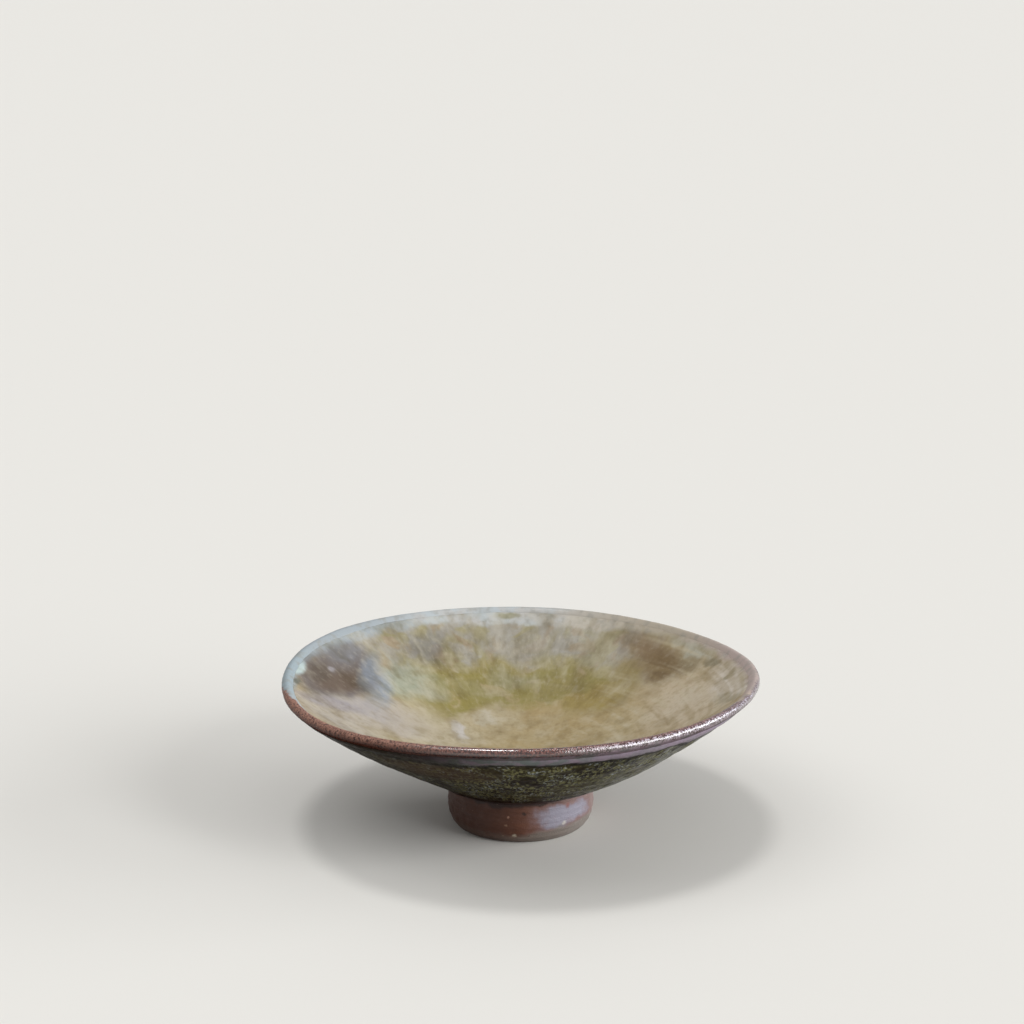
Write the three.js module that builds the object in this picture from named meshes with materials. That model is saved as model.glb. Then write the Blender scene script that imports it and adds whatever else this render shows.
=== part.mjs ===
// A hand-thrown summer tea bowl: a wide, shallow, flared wall on a small rounded foot ring.
// The thrown body and its foot ring are separate solids of clay, and each coat of glaze is a
// thin shell that lies on the clay or on the coat below it.
// Millimetres, +Z up. The foot stands on z = 0 and its axis is Z.

import * as THREE from 'three';

// Thrown clay body. A lean is the angle that a face climbs at, and a reach is how far the face
// keeps to that angle before it starts to bend.
const bowlHeight = 50;
const lipRadius = 76.2;
const lipClayThickness = 2.2;
const lipLean = 42;
const outerReachAtLip = 24;
const innerReachAtLip = 8;
const wallLeanAtFoot = 33;
const outerReachAtFoot = 12;
const floorThickness = 5;
const floorReach = 34;

// Foot ring, luted to the flat underside of the body
const footHeight = 14;
const seatRadius = 23.4;
const seatMargin = 0.6;
const seatClearance = 0.06;
const bellyRadius = 23.6;
const bellyHeight = 7.5;
const restRadius = 20.2;
const restWidth = 4.2;
const recessRadius = 13.8;
const recessEdgeHeight = 2.4;

// Coats of glaze
const glazeThickness = 0.35;
const glazeClearance = 0.06;
const bareClayStrip = 0.8;
const rollSwell = 1;
const rollLength = 5;
const ironBandInside = 1.8;
const ironBandOutside = 2.2;
const bandJoint = 0.12;
const paleThickness = 0.22;
const paleDepthInside = 4.4;
const paleDepthOutside = 4.8;
const paleWander = 1.6;
const paleTurnOutside = 115;

// Unevenness of a bowl thrown and dried by hand: how far the lip strays from a level circle,
// how far the middle of the wall sags, and how the lower edge of the pale glaze wanders
const lipPlanWaves = [
  { count: 1, size: 0.55, turn: 180 },
  { count: 2, size: 0.42, turn: 335 },
  { count: 3, size: 0.57, turn: 4 },
];
const lipHeightWaves = [
  { count: 1, size: 0.89, turn: 297 },
  { count: 2, size: 0.78, turn: 263 },
  { count: 3, size: 0.3, turn: 45 },
  { count: 4, size: 0.4, turn: 291 },
];
const wallSagWaves = [{ count: 1, size: 0.3, turn: 170 }];
const paleEdgeWaves = [
  { count: 2, size: 0.45, turn: 120 },
  { count: 5, size: 0.35, turn: 20 },
  { count: 9, size: 0.2, turn: 75 },
];
const wavesFadeTowardsFoot = 1.5;

// How finely the round faces are cut
const facetsRound = 56;
const wallSteps = 5;
const paleSteps = 2;
const rollSteps = 4;
const lipSteps = 5;
const footSteps = 4;

// Points closer to the axis than this count as lying on it
const onAxis = 1e-6;

// Colours and roughness of the clays and glazes
const bodyClayColour = 0x9a6f5a;
const footClayColour = 0x9c5a3c;
const innerGlazeColour = 0xb9a37c;
const outerGlazeColour = 0x5d5434;
const ironGlazeColour = 0x6f4538;
const paleGlazeColour = 0xaab3ad;
const clayRoughness = 0.85;
const glazeRoughness = 0.3;

// The sum of a list of waves at one angle round the bowl, in radians.
function waveSum(waves, angle) {
  return waves.reduce(
    (sum, { count, size, turn }) =>
      sum + size * Math.cos(count * angle - THREE.MathUtils.degToRad(turn)),
    0,
  );
}

// A unit step that climbs outwards at a lean, in degrees.
function climb(lean) {
  const angle = THREE.MathUtils.degToRad(lean);
  return new THREE.Vector2(Math.cos(angle), Math.sin(angle));
}

// A point moved along a direction by a distance.
function moved(point, direction, distance) {
  return point.clone().addScaledVector(direction, distance);
}

// Underside of the wall, from the seat of the foot ring to the lip, and the inside of the bowl,
// from the middle of the floor to the lip. The lip is a half round between their ends.
const lipHalfThickness = lipClayThickness / 2;
const coatedLipHalf = lipHalfThickness + glazeClearance + glazeThickness;
const lipCentre = new THREE.Vector2(lipRadius - coatedLipHalf, bowlHeight - coatedLipHalf);
const lipRise = climb(lipLean);
const lipOutward = new THREE.Vector2(lipRise.y, -lipRise.x);

const undersideRadius = seatRadius + seatMargin;
const undersideStart = new THREE.Vector2(undersideRadius, footHeight);
const undersideEnd = moved(lipCentre, lipOutward, lipHalfThickness);
const underside = new THREE.CubicBezierCurve(
  undersideStart,
  moved(undersideStart, climb(wallLeanAtFoot), outerReachAtFoot),
  moved(undersideEnd, lipRise, -outerReachAtLip),
  undersideEnd,
);

const floorCentre = new THREE.Vector2(0, footHeight + floorThickness);
const insideEnd = moved(lipCentre, lipOutward, -lipHalfThickness);
const inside = new THREE.CubicBezierCurve(
  floorCentre,
  new THREE.Vector2(floorReach, floorCentre.y),
  moved(insideEnd, lipRise, -innerReachAtLip),
  insideEnd,
);

// A point at a distance off a clay face, at a distance back from the lip along that face.
// The underside's glaze lies to the right of the way up the wall, and the inside's to the left.
function offFace(face, backFromLip, height) {
  const share = 1 - backFromLip / face.getLength();
  const point = face.getPointAt(share);
  const rise = face.getTangentAt(share);
  const side = face === underside ? 1 : -1;
  return moved(point, new THREE.Vector2(rise.y, -rise.x), side * height);
}

// Points off a clay face at a list of distances back from the lip.
function alongFace(face, stations, heightAt) {
  return stations.map((backFromLip) => offFace(face, backFromLip, heightAt(backFromLip)));
}

// Evenly spaced distances back from the lip, both ends included.
function spaced(from, to, steps) {
  return Array.from({ length: steps + 1 }, (_, i) => THREE.MathUtils.lerp(from, to, i / steps));
}

// Distances back from the lip where the solids on a face have their corners. The clay and the
// coats share them, so that the faceted coats lie evenly over the faceted clay.
const rollEnd = underside.getLength() - bareClayStrip;
const rollStart = rollEnd - rollLength;
const outsideBandStations = [0, ironBandOutside];
const insideBandStations = [0, ironBandInside];
const outsideGlazeStart = ironBandOutside + bandJoint;
const insideGlazeStart = ironBandInside + bandJoint;
const outsideGlazeStations = [
  ...spaced(outsideGlazeStart, outsideGlazeStart + paleDepthOutside, paleSteps),
  ...spaced(outsideGlazeStart + paleDepthOutside, rollStart, wallSteps).slice(1),
  ...spaced(rollStart, rollEnd, rollSteps).slice(1),
];
const insideGlazeStations = [
  ...spaced(insideGlazeStart, insideGlazeStart + paleDepthInside, paleSteps),
  ...spaced(insideGlazeStart + paleDepthInside, inside.getLength(), wallSteps).slice(1),
];

// Points round the lip at a height off its clay, from the underside over to the inside.
function overLip(height) {
  const start = Math.atan2(lipOutward.y, lipOutward.x);
  return Array.from({ length: lipSteps - 1 }, (_, i) => {
    const angle = start + (Math.PI * (i + 1)) / lipSteps;
    const direction = new THREE.Vector2(Math.cos(angle), Math.sin(angle));
    return moved(lipCentre, direction, lipHalfThickness + height);
  });
}

// The place in space of a point of a section, with the bowl's unevenness: none at the foot,
// the lip's waves in full at the lip, and the sag in full half way out.
function place(point, angle) {
  const fromFoot = (point.x - undersideRadius) / (lipCentre.x - undersideRadius);
  const outwards = THREE.MathUtils.clamp(fromFoot, 0, 1);
  const lipShare = outwards ** wavesFadeTowardsFoot;
  const sagShare = Math.sin(Math.PI * outwards);
  const radius = point.x + lipShare * waveSum(lipPlanWaves, angle);
  const lift = lipShare * waveSum(lipHeightWaves, angle) + sagShare * waveSum(wallSagWaves, angle);
  return [radius * Math.cos(angle), radius * Math.sin(angle), point.y + lift];
}

// A solid of revolution whose section may change a little with the angle. The section runs
// anticlockwise, and either closes on itself or has its first and last points on the axis.
function turned(name, color, roughness, sectionAt) {
  const positions = [];
  const pointsPerSection = sectionAt(0).length;
  const numberOf = Array.from({ length: facetsRound }, (_, facet) => {
    const angle = (2 * Math.PI * facet) / facetsRound;
    return sectionAt(angle).map((point, row) => {
      if (facet > 0 && point.x < onAxis) return row;
      positions.push(...place(point, angle));
      return positions.length / 3 - 1;
    });
  });
  const triangles = [];
  const addTriangle = (a, b, c) => {
    if (a !== b && b !== c && c !== a) triangles.push(a, b, c);
  };
  numberOf.forEach((here, facet) => {
    const next = numberOf[(facet + 1) % facetsRound];
    here.forEach((corner, row) => {
      const above = (row + 1) % pointsPerSection;
      addTriangle(corner, next[row], next[above]);
      addTriangle(corner, next[above], here[above]);
    });
  });
  const geometry = new THREE.BufferGeometry();
  geometry.setAttribute('position', new THREE.Float32BufferAttribute(positions, 3));
  geometry.setIndex(triangles);
  geometry.computeVertexNormals();
  const material = new THREE.MeshStandardMaterial({ color, roughness, metalness: 0 });
  const mesh = new THREE.Mesh(geometry, material);
  mesh.name = name;
  return mesh;
}

// The thrown body: flat seat, underside, lip, inside and floor, all of bare clay.
function thrownBody() {
  const bare = () => 0;
  const underStations = [...outsideBandStations, ...outsideGlazeStations, underside.getLength()];
  const section = [
    new THREE.Vector2(0, footHeight),
    ...alongFace(underside, underStations.reverse(), bare),
    ...overLip(0),
    ...alongFace(inside, [...insideBandStations, ...insideGlazeStations], bare),
  ];
  return turned('thrown_body', bodyClayColour, clayRoughness, () => section);
}

// The foot ring: it stands on a flat ring, swells to a soft belly and meets the body's seat.
function footRing() {
  const top = footHeight - seatClearance;
  const outerEdge = new THREE.EllipseCurve(
    restRadius,
    bellyHeight,
    bellyRadius - restRadius,
    bellyHeight,
    -Math.PI / 2,
    0,
  );
  const innerRestRadius = restRadius - restWidth;
  const innerEdge = new THREE.QuadraticBezierCurve(
    new THREE.Vector2(recessRadius, recessEdgeHeight),
    new THREE.Vector2(recessRadius, 0),
    new THREE.Vector2(innerRestRadius, 0),
  );
  const section = [
    ...outerEdge.getPoints(footSteps),
    new THREE.Vector2(seatRadius, top),
    new THREE.Vector2(recessRadius, top),
    ...innerEdge.getPoints(footSteps),
  ];
  return turned('foot_ring', footClayColour, clayRoughness, () => section);
}

// A coat on one clay face, at a list of distances back from the lip. The heights off the clay
// of its lower and upper sides are given along the face.
function coat(face, stations, lowerAt, upperAt) {
  const lower = alongFace(face, stations, lowerAt);
  const upper = alongFace(face, stations, upperAt);
  return face === underside ? [...lower, ...upper.reverse()] : [...upper, ...lower.reverse()];
}

const bottomOfGlaze = () => glazeClearance;
const topOfGlaze = () => glazeClearance + glazeThickness;

// The glaze inside the bowl, from the iron band right across the floor.
function innerGlaze() {
  const section = coat(inside, insideGlazeStations, bottomOfGlaze, topOfGlaze);
  return turned('inner_glaze', innerGlazeColour, glazeRoughness, () => section);
}

// The glaze outside, which ends above the foot in a thick rolled edge.
function outerGlaze() {
  const rollTop = (backFromLip) => {
    const intoRoll = Math.max(0, (backFromLip - rollStart) / rollLength);
    return topOfGlaze() + rollSwell * Math.sin(Math.PI * intoRoll ** 2);
  };
  const section = coat(underside, outsideGlazeStations, bottomOfGlaze, rollTop);
  return turned('outer_glaze', outerGlazeColour, glazeRoughness, () => section);
}

// The iron-brown glaze that wraps the lip.
function ironLipBand() {
  const section = [
    ...alongFace(underside, outsideBandStations.toReversed(), topOfGlaze),
    ...overLip(topOfGlaze()),
    ...alongFace(inside, insideBandStations, topOfGlaze),
    ...alongFace(inside, insideBandStations.toReversed(), bottomOfGlaze),
    ...overLip(bottomOfGlaze()).reverse(),
    ...alongFace(underside, outsideBandStations, bottomOfGlaze),
  ];
  return turned('iron_lip_band', ironGlazeColour, glazeRoughness, () => section);
}

// A band of the second, pale glaze over the first one. It thins towards its lower edge, which
// wanders up and down. The turn, in degrees, sets where round the bowl the wandering starts.
function paleBand(name, face, start, depth, turn) {
  const bottom = () => topOfGlaze() + glazeClearance;
  const turnAngle = THREE.MathUtils.degToRad(turn);
  const sectionAt = (angle) => {
    const end = start + depth + paleWander * waveSum(paleEdgeWaves, angle + turnAngle);
    const thinningTop = (backFromLip) =>
      bottom() + paleThickness * (1 - (backFromLip - start) / (end - start) / 2);
    return coat(face, spaced(start, end, paleSteps), bottom, thinningTop);
  };
  return turned(name, paleGlazeColour, glazeRoughness, sectionAt);
}

const bowl = new THREE.Group();
bowl.name = 'tea_bowl';
bowl.add(
  thrownBody(),
  footRing(),
  innerGlaze(),
  outerGlaze(),
  ironLipBand(),
  paleBand('pale_band_inside', inside, insideGlazeStart, paleDepthInside, 0),
  paleBand('pale_band_outside', underside, outsideGlazeStart, paleDepthOutside, paleTurnOutside),
);

export default bowl;
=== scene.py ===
"""Dressed model of a hand-thrown summer tea bowl.

The bowl is wide, shallow and flared, on a small rounded foot ring of bare clay. Each coat of
glaze is a mesh of its own that lies on the clay, with the marks of throwing and the flow of the
glaze in its surface. Sizes are in millimetres until a mesh is made, and metres after that.
"""

import logging
import math
from collections.abc import Sequence
from dataclasses import dataclass
from enum import Enum
from functools import cached_property

import bpy
import numpy as np
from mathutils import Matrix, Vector


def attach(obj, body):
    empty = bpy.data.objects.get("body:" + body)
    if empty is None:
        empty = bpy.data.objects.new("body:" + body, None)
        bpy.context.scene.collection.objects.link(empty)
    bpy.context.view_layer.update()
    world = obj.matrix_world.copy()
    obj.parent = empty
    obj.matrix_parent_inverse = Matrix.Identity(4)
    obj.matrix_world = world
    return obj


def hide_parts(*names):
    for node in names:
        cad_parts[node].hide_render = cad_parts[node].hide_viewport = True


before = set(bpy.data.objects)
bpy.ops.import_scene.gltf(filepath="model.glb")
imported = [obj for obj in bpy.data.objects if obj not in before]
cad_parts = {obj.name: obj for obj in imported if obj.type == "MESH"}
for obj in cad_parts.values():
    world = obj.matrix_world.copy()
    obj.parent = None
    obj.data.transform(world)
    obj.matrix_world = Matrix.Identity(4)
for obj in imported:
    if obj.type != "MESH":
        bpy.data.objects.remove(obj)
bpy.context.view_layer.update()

log = logging.getLogger("tea_bowl")

MILLIMETRE = 0.001
BODY = "root"
# The side of the lip that is glassy, in degrees
GLASSY_SIDE = 263
# A length that no place on the bowl comes near, in millimetres
ENDLESS = 1e6

Colour = tuple[int, int, int]


# Shape


@dataclass(frozen=True)
class Wave:
    """An even wave round the bowl: how many crests, how high, and the turn of the first."""

    count: int
    size: float
    turn: float

    def at(self, angle: np.ndarray) -> np.ndarray:
        """Height of the wave at angles in radians."""
        return self.size * np.cos(self.count * angle - math.radians(self.turn))


def wave_sum(waves: Sequence[Wave], angle: np.ndarray) -> np.ndarray:
    """Sum of some waves at angles in radians."""
    return sum((wave.at(angle) for wave in waves), np.zeros_like(angle))


def eased(value: np.ndarray, low: float, high: float) -> np.ndarray:
    """Smooth rise from 0 where a value is low to 1 where it is high.

    Args:
        value: The values to read.
        low: Where the rise starts.
        high: Where it ends. It may be below low, for a fall.

    Returns:
        Shares from 0 to 1, in the shape of value.
    """
    share = np.clip((value - low) / (high - low), 0, 1)
    return share * share * (3 - 2 * share)


@dataclass(frozen=True)
class Lumps:
    """Smooth, random unevenness with lumps of about one size."""

    cell: float
    size: float
    seed: int

    def at(self, points: np.ndarray) -> np.ndarray:
        """Height of the lumps at some points.

        Args:
            points: Places in millimetres, in an array whose last axis holds x, y and z.

        Returns:
            Heights in millimetres, from about minus size to size.
        """
        cells = points / self.cell
        base = np.floor(cells).astype(np.int64)
        local = cells - base
        ease = local**3 * (local * (local * 6 - 15) + 10)
        slopes = np.random.default_rng(self.seed).normal(size=(1024, 3))
        slopes /= np.linalg.norm(slopes, axis=1, keepdims=True)
        total = np.zeros(points.shape[:-1])
        for corner in np.ndindex(2, 2, 2):
            cell = base + corner
            key = (cell[..., 0] * 73856093) ^ (cell[..., 1] * 19349663) ^ (cell[..., 2] * 83492791)
            slope = slopes[(key ^ (key >> 11)) & 1023]
            share = np.prod(np.where(corner, ease, 1 - ease), axis=-1)
            total += share * np.sum(slope * (local - corner), axis=-1)
        return 1.5 * self.size * total


def lumps_sum(layers: Sequence[Lumps], points: np.ndarray) -> np.ndarray:
    """Sum of some layers of unevenness at points in millimetres."""
    return sum((layer.at(points) for layer in layers), np.zeros(points.shape[:-1]))


@dataclass(frozen=True)
class ThrowingRings:
    """The low spiral ridge that the fingers leave as the wheel turns."""

    pitch: float
    size: float

    def at(self, points: np.ndarray) -> np.ndarray:
        """Height of the ridge at points in millimetres.

        Args:
            points: Places in millimetres, on the last axis.

        Returns:
            Heights in millimetres.
        """
        radius = np.hypot(points[..., 0], points[..., 1])
        angle = np.arctan2(points[..., 1], points[..., 0])
        phase = 2 * math.pi * radius / self.pitch - angle
        return self.size * (np.cos(phase) + 0.3 * np.cos(2 * phase + 1))


@dataclass(frozen=True)
class ClayFace:
    """One face of the thrown clay in section, as a smooth curve that ends at the lip.

    The points are (radius, height) pairs, and outward is 1 where the glaze lies to the right of
    the way up the face and -1 where it lies to the left.
    """

    points: tuple[np.ndarray, np.ndarray, np.ndarray, np.ndarray]
    outward: int

    def on_curve(self, share: np.ndarray) -> tuple[np.ndarray, np.ndarray]:
        """Points and unit directions on the curve.

        Args:
            share: How far along the curve, from 0 to 1, in the curve's own measure.

        Returns:
            The points, and the directions that the curve runs in there.
        """
        start, first, second, end = self.points
        t = share[..., None]
        u = 1 - t
        point = u**3 * start + 3 * u * u * t * first + 3 * u * t * t * second + t**3 * end
        run = u * u * (first - start) + 2 * u * t * (second - first) + t * t * (end - second)
        return point, run / np.linalg.norm(run, axis=-1, keepdims=True)

    def lengths(self) -> tuple[np.ndarray, np.ndarray]:
        """Even steps of the curve's own measure, and the length of the face up to each.

        Returns:
            The steps from 0 to 1, and the lengths in millimetres.
        """
        steps = np.linspace(0, 1, 1201)
        point, _ = self.on_curve(steps)
        pieces = np.linalg.norm(np.diff(point, axis=0), axis=1)
        return steps, np.concatenate([[0], np.cumsum(pieces)])

    @property
    def length(self) -> float:
        """Length of the face, from its start to the lip."""
        return float(self.lengths()[1][-1])

    def off(self, back: np.ndarray, height: np.ndarray) -> np.ndarray:
        """Points off the face.

        Args:
            back: Distances back from the lip along the face.
            height: Distances off the face, outwards.

        Returns:
            (radius, height) pairs on the last axis.
        """
        steps, reach = self.lengths()
        share = np.interp(reach[-1] - back, reach, steps)
        point, run = self.on_curve(share)
        normal = np.stack([run[..., 1], -run[..., 0]], axis=-1)
        return point + self.outward * np.asarray(height)[..., None] * normal


def climb(lean: float) -> np.ndarray:
    """A unit step that climbs outwards at a lean in degrees."""
    return np.array([math.cos(math.radians(lean)), math.sin(math.radians(lean))])


def turned(
    radius: np.ndarray | float, height: np.ndarray | float, angle: np.ndarray
) -> np.ndarray:
    """Places at some radii and heights, at angles in radians round the axis."""
    parts = np.broadcast_arrays(radius * np.cos(angle), radius * np.sin(angle), height)
    return np.stack(parts, axis=-1)


@dataclass(frozen=True)
class BowlForm:
    """Sizes of the clay, the same as the solid model's, and where its skin lies in space."""

    bowl_height: float = 50
    lip_radius: float = 76.2
    lip_clay_thickness: float = 2.2
    lip_lean: float = 42
    outer_reach_at_lip: float = 24
    inner_reach_at_lip: float = 8
    wall_lean_at_foot: float = 33
    outer_reach_at_foot: float = 12
    floor_thickness: float = 5
    floor_reach: float = 34
    foot_height: float = 14
    seat_radius: float = 23.4
    seat_margin: float = 0.6
    glaze_thickness: float = 0.35
    glaze_clearance: float = 0.06
    waves_fade_towards_foot: float = 1.5
    lip_plan: tuple[Wave, ...] = (Wave(1, 0.55, 180), Wave(2, 0.42, 335), Wave(3, 0.57, 4))
    lip_height: tuple[Wave, ...] = (
        Wave(1, 0.89, 297),
        Wave(2, 0.78, 263),
        Wave(3, 0.3, 45),
        Wave(4, 0.4, 291),
    )
    wall_sag: tuple[Wave, ...] = (Wave(1, 0.3, 170),)

    @property
    def lip_half(self) -> float:
        """Half the thickness of the clay at the lip."""
        return self.lip_clay_thickness / 2

    @property
    def glaze_top(self) -> float:
        """Height of a coat's surface off the clay."""
        return self.glaze_clearance + self.glaze_thickness

    @property
    def coat_bottom(self) -> float:
        """Height of a coat's hidden face off the clay."""
        return self.glaze_clearance / 2

    @property
    def lip_centre(self) -> np.ndarray:
        """Centre of the half round that the lip is, in section."""
        coated = self.lip_half + self.glaze_top
        return np.array([self.lip_radius - coated, self.bowl_height - coated])

    @property
    def lip_outward(self) -> np.ndarray:
        """Direction in section from the inside face to the underside at the lip."""
        rise = climb(self.lip_lean)
        return np.array([rise[1], -rise[0]])

    @property
    def start_radius(self) -> float:
        """Radius at which the underside of the wall leaves the seat of the foot ring."""
        return self.seat_radius + self.seat_margin

    @property
    def half_round(self) -> float:
        """Length of clay from the crest of the lip to the end of a face."""
        return math.pi * self.lip_half / 2

    def underside(self) -> ClayFace:
        """The underside of the wall, from the seat of the foot ring to the lip.

        Returns:
            The face, whose glaze lies to the right of the way up.
        """
        start = np.array([self.start_radius, self.foot_height])
        end = self.lip_centre + self.lip_half * self.lip_outward
        after_start = start + self.outer_reach_at_foot * climb(self.wall_lean_at_foot)
        before_end = end - self.outer_reach_at_lip * climb(self.lip_lean)
        return ClayFace((start, after_start, before_end, end), 1)

    def inside(self) -> ClayFace:
        """The inside of the bowl, from the middle of the floor to the lip.

        Returns:
            The face, whose glaze lies to the left of the way up.
        """
        floor = self.foot_height + self.floor_thickness
        end = self.lip_centre - self.lip_half * self.lip_outward
        before_end = end - self.inner_reach_at_lip * climb(self.lip_lean)
        points = (np.array([0, floor]), np.array([self.floor_reach, floor]), before_end, end)
        return ClayFace(points, -1)

    def skin(self, across: np.ndarray, height: np.ndarray) -> np.ndarray:
        """Points off the clay, on a path that runs up the underside, over the lip and inside.

        Args:
            across: Distances along the clay from the crest of the lip, below zero outside the
                bowl and above it inside.
            height: Distances off the clay.

        Returns:
            (radius, height) pairs on the last axis.
        """
        across, height = np.broadcast_arrays(across, height)
        turn = (across / self.half_round) * (math.pi / 2)
        outwards = math.atan2(self.lip_outward[1], self.lip_outward[0]) + math.pi / 2
        reach = self.lip_half + height
        around = np.stack([np.cos(outwards + turn), np.sin(outwards + turn)], axis=-1)
        points = self.lip_centre + reach[..., None] * around
        for face, back in (
            (self.underside(), -across - self.half_round),
            (self.inside(), across - self.half_round),
        ):
            on_face = back > 0
            points[on_face] = face.off(back[on_face], height[on_face])
        return points

    def place(self, section: np.ndarray, angle: np.ndarray) -> np.ndarray:
        """Places in space of points of a section, with the unevenness of the drying bowl.

        Args:
            section: (radius, height) pairs on the last axis.
            angle: Angles round the bowl in radians, one for each pair.

        Returns:
            x, y and z in millimetres on the last axis.
        """
        radius, height = section[..., 0], section[..., 1]
        from_foot = (radius - self.start_radius) / (self.lip_centre[0] - self.start_radius)
        outwards = np.clip(from_foot, 0, 1)
        lip_share = outwards**self.waves_fade_towards_foot
        radius = radius + lip_share * wave_sum(self.lip_plan, angle)
        height = height + lip_share * wave_sum(self.lip_height, angle)
        height = height + np.sin(math.pi * outwards) * wave_sum(self.wall_sag, angle)
        return turned(radius, height, angle)


def turned_object(
    name: str, form: BowlForm, section: np.ndarray, across: np.ndarray | None = None
) -> bpy.types.Object:
    """Makes a closed piece whose section changes a little with the angle.

    Args:
        name: Name of the piece.
        form: The bowl's form, which places the section in space.
        section: (radius, height) pairs in rows that run anticlockwise round the section, with
            one column for each angle round the bowl.
        across: Distance of each point from the crest of the lip, kept on the mesh for the
            glaze to read.

    Returns:
        The new object, linked to the scene.
    """
    rows, columns = section.shape[:2]
    angle = np.broadcast_to(np.arange(columns) * (2 * math.pi / columns), (rows, columns))
    points = form.place(section, angle).reshape(-1, 3) * MILLIMETRE
    number = np.arange(rows * columns).reshape(rows, columns)
    on_axis = section[:, 0, 0] < 1e-6
    number[on_axis] = number[on_axis, :1]
    used, order = np.unique(number, return_inverse=True)
    number = order.reshape(rows, columns)
    faces: list[list[int]] = []
    for row in range(rows):
        above = (row + 1) % rows
        here, there = number[row], number[above]
        corners = [here, np.roll(here, -1), np.roll(there, -1), there]
        if on_axis[row] and on_axis[above]:
            continue
        if on_axis[row]:
            corners.pop(1)
        elif on_axis[above]:
            corners.pop(2)
        faces.extend(np.stack(corners, axis=1).tolist())
    mesh = bpy.data.meshes.new(name)
    mesh.from_pydata(points[used].tolist(), [], faces)
    if across is not None:
        values = np.broadcast_to(across, (rows, columns)).reshape(-1)[used]
        layer = mesh.attributes.new("across", "FLOAT", "POINT")
        layer.data.foreach_set("value", values.astype(np.float32))
    mesh.shade_smooth()
    mesh.update()
    piece = bpy.data.objects.new(name, mesh)
    bpy.context.scene.collection.objects.link(piece)
    return piece


# Finishes


def linear(colour: Colour) -> tuple[float, float, float, float]:
    """A colour of three numbers up to 255, as Blender's linear light.

    Args:
        colour: The colour.

    Returns:
        Red, green and blue in linear light, and full cover.
    """
    shares = (value / 255 for value in colour)
    lights = [s / 12.92 if s <= 0.04045 else ((s + 0.055) / 1.055) ** 2.4 for s in shares]
    return (lights[0], lights[1], lights[2], 1.0)


@dataclass(frozen=True)
class Noise:
    """Cloudy noise: the size of its cells, which part of it shows, and its finer layers."""

    cell: float
    seed: float
    detail: float = 2.0


@dataclass(frozen=True)
class Spot:
    """A small round mark on the clay, in millimetres."""

    place: tuple[float, float, float]
    size: float
    colour: Colour
    strength: float = 0.8


@dataclass(frozen=True)
class Patch:
    """A soft oval of colour, seen from above, in millimetres and degrees."""

    x: float
    y: float
    length: float
    width: float
    turn: float
    colour: Colour
    strength: float = 0.8
    softness: float = 0.5


@dataclass(frozen=True)
class Sector:
    """One side of the bowl, in degrees: its middle, half its width, and the fade of its edge."""

    middle: float
    half_width: float
    softness: float


@dataclass(frozen=True)
class Wash(Sector):
    """A colour that lies on one side of the bowl."""

    colour: Colour
    strength: float = 1.0


@dataclass(frozen=True)
class Shift(Sector):
    """Millimetres that are added on one side of the bowl."""

    amount: float


@dataclass(frozen=True)
class Value:
    """A number, vector or colour that a finish works out at each place. Numbers can be summed."""

    brush: "Brush"
    socket: bpy.types.NodeSocket

    def __add__(self, other: "Feed") -> "Value":
        """The sum of two numbers."""
        return self.brush.math("ADD", self, other)

    def __sub__(self, other: "Feed") -> "Value":
        """This number less another."""
        return self.brush.math("SUBTRACT", self, other)

    def __rsub__(self, other: float) -> "Value":
        """Another number less this one."""
        return self.brush.math("SUBTRACT", other, self)

    def __mul__(self, other: "Feed") -> "Value":
        """The product of two numbers."""
        return self.brush.math("MULTIPLY", self, other)


Feed = Value | float | tuple[float, ...]


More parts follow.
